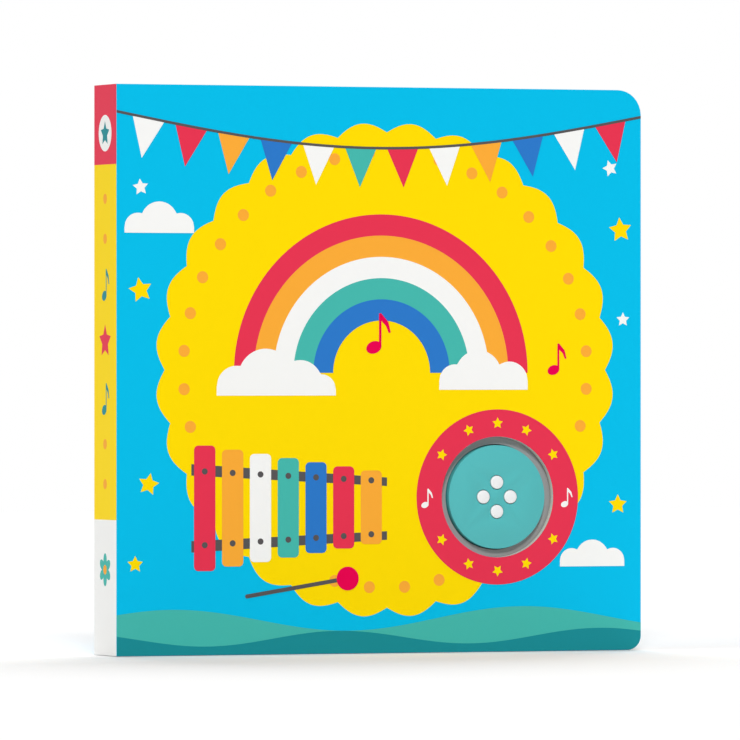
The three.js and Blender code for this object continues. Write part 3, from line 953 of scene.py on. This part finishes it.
def round_rims(piece, width):
    """Rounds every rim that turns by more than SHARP degrees."""
    modifier = piece.modifiers.new("round", "BEVEL")
    modifier.width = width * MM
    modifier.segments = 3
    modifier.limit_method = "ANGLE"
    modifier.angle_limit = math.radians(SHARP)
    pick_only(piece)
    bpy.ops.object.modifier_apply(modifier=modifier.name)
    bpy.ops.object.shade_smooth_by_angle(angle=math.radians(SMOOTH))


print("rims over", SHARP, "degrees are rounded")

# %% Cap
CAP_R = 18.4
CAP_INSIDE_R = 17.2
CAP_SKIN = 2
CAP_ROUND = 0.35
BORE_R = 2.6
BORE_OUT = 5.2
BORE_SIDES = 48
cap = turn_piece("key_cap", CAP_R, CAP_TOP, CAP_END)
combine(cap, turn_piece("inside", CAP_INSIDE_R, CAP_TOP + CAP_SKIN, CAP_END + 2))
for i in range(4):
    x, z = on_circle(KEY_X, KEY_Z, BORE_OUT, i * QUARTER)
    combine(cap, turn_piece("bore", BORE_R, CAP_TOP - 1, CAP_TOP + 4, x, z, BORE_SIDES))
round_rims(cap, CAP_ROUND)
cap.data.materials.append(KEY_TEAL)
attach(cap, "key")
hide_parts("button_cap")
print("the cap has", len(cap.data.polygons), "faces")

# %% [markdown]
# ## The studs
# Behind the cap is a white plunger, and four studs on it come through the holes.
# Only their ends show, so each is a short rounded piece over the solid one. They
# are all alike: one is modelled, and three copies of it are moved to the other
# holes, each with a mesh of its own.

# %% Studs
STUD_R = 2.36
STUD_ROUND = 0.3
STUD_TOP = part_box("button_plunger")[0].y / MM - 0.02
STUD_FOOT = CAP_TOP + 1.5
stud = turn_piece("key_stud_1", STUD_R, STUD_TOP, STUD_FOOT, KEY_X + BORE_OUT, sides=BORE_SIDES)
round_rims(stud, STUD_ROUND)
stud.data.materials.append(KEY_WHITE)
studs = [stud]
for i in range(1, 4):
    pick_only(stud)
    bpy.ops.object.duplicate()
    copy = bpy.context.active_object
    copy.name = "key_stud_%d" % (i + 1)
    x, z = on_circle(-BORE_OUT, 0, BORE_OUT, i * QUARTER)
    copy.location = (x * MM, 0, z * MM)
    bpy.ops.object.transform_apply(location=True, rotation=False, scale=False)
    studs.append(copy)
for piece in studs:
    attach(piece, "key")
print(len(studs), "studs of", len(stud.data.polygons), "faces")

# %% [markdown]
# ## The rubber dome
# A dome of soft rubber pushes the key back up and closes the contact below it. It
# is a flange with a bell on it, hollow inside. The real one flattens as the key
# goes down; here it is made at rest and rides on the back cover.

# %% Dome
DOME_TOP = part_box("key_dome")[0].y / MM
DOME_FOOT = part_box("key_dome")[1].y / MM
DOME_SIDES = 64
DOME_ROUND = 0.15
FLANGE_R = 6.0
FLANGE = 0.6
BELL = {"r": 3.0, "foot": 5.2, "sides": DOME_SIDES}
HOLLOW = {"r": 2.5, "foot": 4.6, "sides": DOME_SIDES}
ROOF = 0.9
dome = turn_piece("soft_dome", FLANGE_R, DOME_FOOT - FLANGE, DOME_FOOT, sides=DOME_SIDES)
combine(dome, turn_piece("bell", y0=DOME_TOP, y1=DOME_FOOT - FLANGE / 2, **BELL), "UNION")
combine(dome, turn_piece("hollow", y0=DOME_TOP + ROOF, y1=DOME_FOOT + 0.5, **HOLLOW))
round_rims(dome, DOME_ROUND)
dome.data.materials.append(DOME_RUBBER)
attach(dome, "back")
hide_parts("key_dome")
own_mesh(dome)
print("the dome is", round(DOME_FOOT - DOME_TOP, 2), "mm tall at rest")

# %% [markdown]
# ## Floor and sky
# A product picture has a white ground with only a soft shadow on it. More light
# would whiten the floor, and the book too. So the floor stays grey enough to show
# a shadow, and a small glow that only the picture sees lifts it to white. The
# sky is done the same way: dim as a lamp, white where the camera looks at it, and
# where metal or glass shows it.

# %% The rays that see the backdrop
def backdrop_rays(tree):
    """1 for rays that see the plain backdrop: from the camera, off metal, through glass."""
    path = add(tree, "LightPath")
    value = path.outputs["Is Camera Ray"]
    for kind in ("Is Glossy Ray", "Is Transmission Ray"):
        larger = add_math(tree, "MAXIMUM")
        tree.links.new(value, larger.inputs[0])
        tree.links.new(path.outputs[kind], larger.inputs[1])
        value = larger.outputs[0]
    return value


FLOOR_GREY = 0.8
GLOW = 0.1
SKY_LIGHT = 0.22
WHITE = 1.0
print("the camera sees the sky at", WHITE, "and the book is lit by", SKY_LIGHT)

# %% Floor
bpy.ops.object.select_all(action="DESELECT")
bpy.ops.mesh.primitive_plane_add(size=6, location=(0, 0, -0.2 * MM))
floor = bpy.context.active_object
floor.name = "floor"
floor_look = bpy.data.materials.new("floor")
floor_look.use_nodes = True
tree = floor_look.node_tree
matt = tree.nodes["Principled BSDF"]
matt.inputs["Base Color"].default_value = (FLOOR_GREY, FLOOR_GREY, FLOOR_GREY, 1)
matt.inputs["Roughness"].default_value = 1.0
matt.inputs["Specular IOR Level"].default_value = 0.0
no_glow = add(tree, "Emission", Strength=0.0)
glow = add(tree, "Emission", Strength=GLOW)
glow_pick = add(tree, "MixShader")
lit = add(tree, "AddShader")
tree.links.new(backdrop_rays(tree), glow_pick.inputs[0])
tree.links.new(no_glow.outputs[0], glow_pick.inputs[1])
tree.links.new(glow.outputs[0], glow_pick.inputs[2])
tree.links.new(matt.outputs[0], lit.inputs[0])
tree.links.new(glow_pick.outputs[0], lit.inputs[1])
tree.links.new(lit.outputs[0], tree.nodes["Material Output"].inputs["Surface"])
floor.data.materials.append(floor_look)
print("the floor is", floor.dimensions.x, "m wide")

# %% Sky
world = bpy.data.worlds.new("studio")
bpy.context.scene.world = world
world.use_nodes = True
tree = world.node_tree
sky = tree.nodes["Background"]
sky.inputs["Color"].default_value = (1, 1, 1, 1)
sky.inputs["Strength"].default_value = SKY_LIGHT
seen = add(tree, "Background", Color=(1, 1, 1, 1), Strength=WHITE)
sky_pick = add(tree, "MixShader")
tree.links.new(backdrop_rays(tree), sky_pick.inputs[0])
tree.links.new(sky.outputs[0], sky_pick.inputs[1])
tree.links.new(seen.outputs[0], sky_pick.inputs[2])
tree.links.new(sky_pick.outputs[0], tree.nodes["World Output"].inputs["Surface"])
print("the sky has", len(tree.nodes), "nodes")

# %% [markdown]
# ## Light
# A large soft lamp near the object gives good light but falls off across it. Suns
# light it evenly, and a wide angle makes them as soft. The key light, from the
# upper left, shades the hole's rim and the recess round the key. The side light
# reaches the spine, which would be dull otherwise. The back light draws the soft
# shadow at the foot of the book.

# %% Lamps
def lamp(name, place, degrees, strength):
    """A sun that shines from place to the middle; degrees is how soft it is."""
    bpy.ops.object.light_add(type="SUN", location=place)
    sun = bpy.context.active_object
    sun.name = name
    sun.data.energy = strength
    sun.data.angle = math.radians(degrees)
    sun.rotation_euler = (-Vector(place)).to_track_quat("-Z", "Y").to_euler()


lamp("key_light", (-0.44, -1.15, 0.95), degrees=12, strength=1.84)
lamp("side_light", (-1.2, -0.35, 0.6), degrees=30, strength=0.65)
lamp("back_light", (0.45, 1.0, 1.3), degrees=40, strength=2.0)
print(len(bpy.data.lights), "lamps")

# %% [markdown]
# ## Camera
# The book is seen from the front and a little from the left, with the upright
# edges parallel, as a long lens at the book's own height shows them. The lens
# follows from how far off the camera stands and how many pixels a metre takes.

# %% Camera
YAW = -22.0
REACH = 3.2
PIXELS_PER_METRE = 2820.0
FRAME_PIXELS = 740
SENSOR = 36.0
LOOK = Vector((0.0, 0.0, HEIGHT / 2 * MM))
camera_data = bpy.data.cameras.new("camera")
camera = bpy.data.objects.new("camera", camera_data)
bpy.context.scene.collection.objects.link(camera)
yaw = math.radians(YAW)
camera.location = LOOK + REACH * Vector((math.sin(yaw), -math.cos(yaw), 0.0))
camera.rotation_euler = (QUARTER, 0, yaw)
camera_data.sensor_width = SENSOR
camera_data.lens = SENSOR * REACH * PIXELS_PER_METRE / FRAME_PIXELS
camera_data.clip_start = 0.01
bpy.context.scene.camera = camera
bpy.context.scene.view_settings.view_transform = "Standard"
print("lens", round(camera_data.lens, 1), "mm")
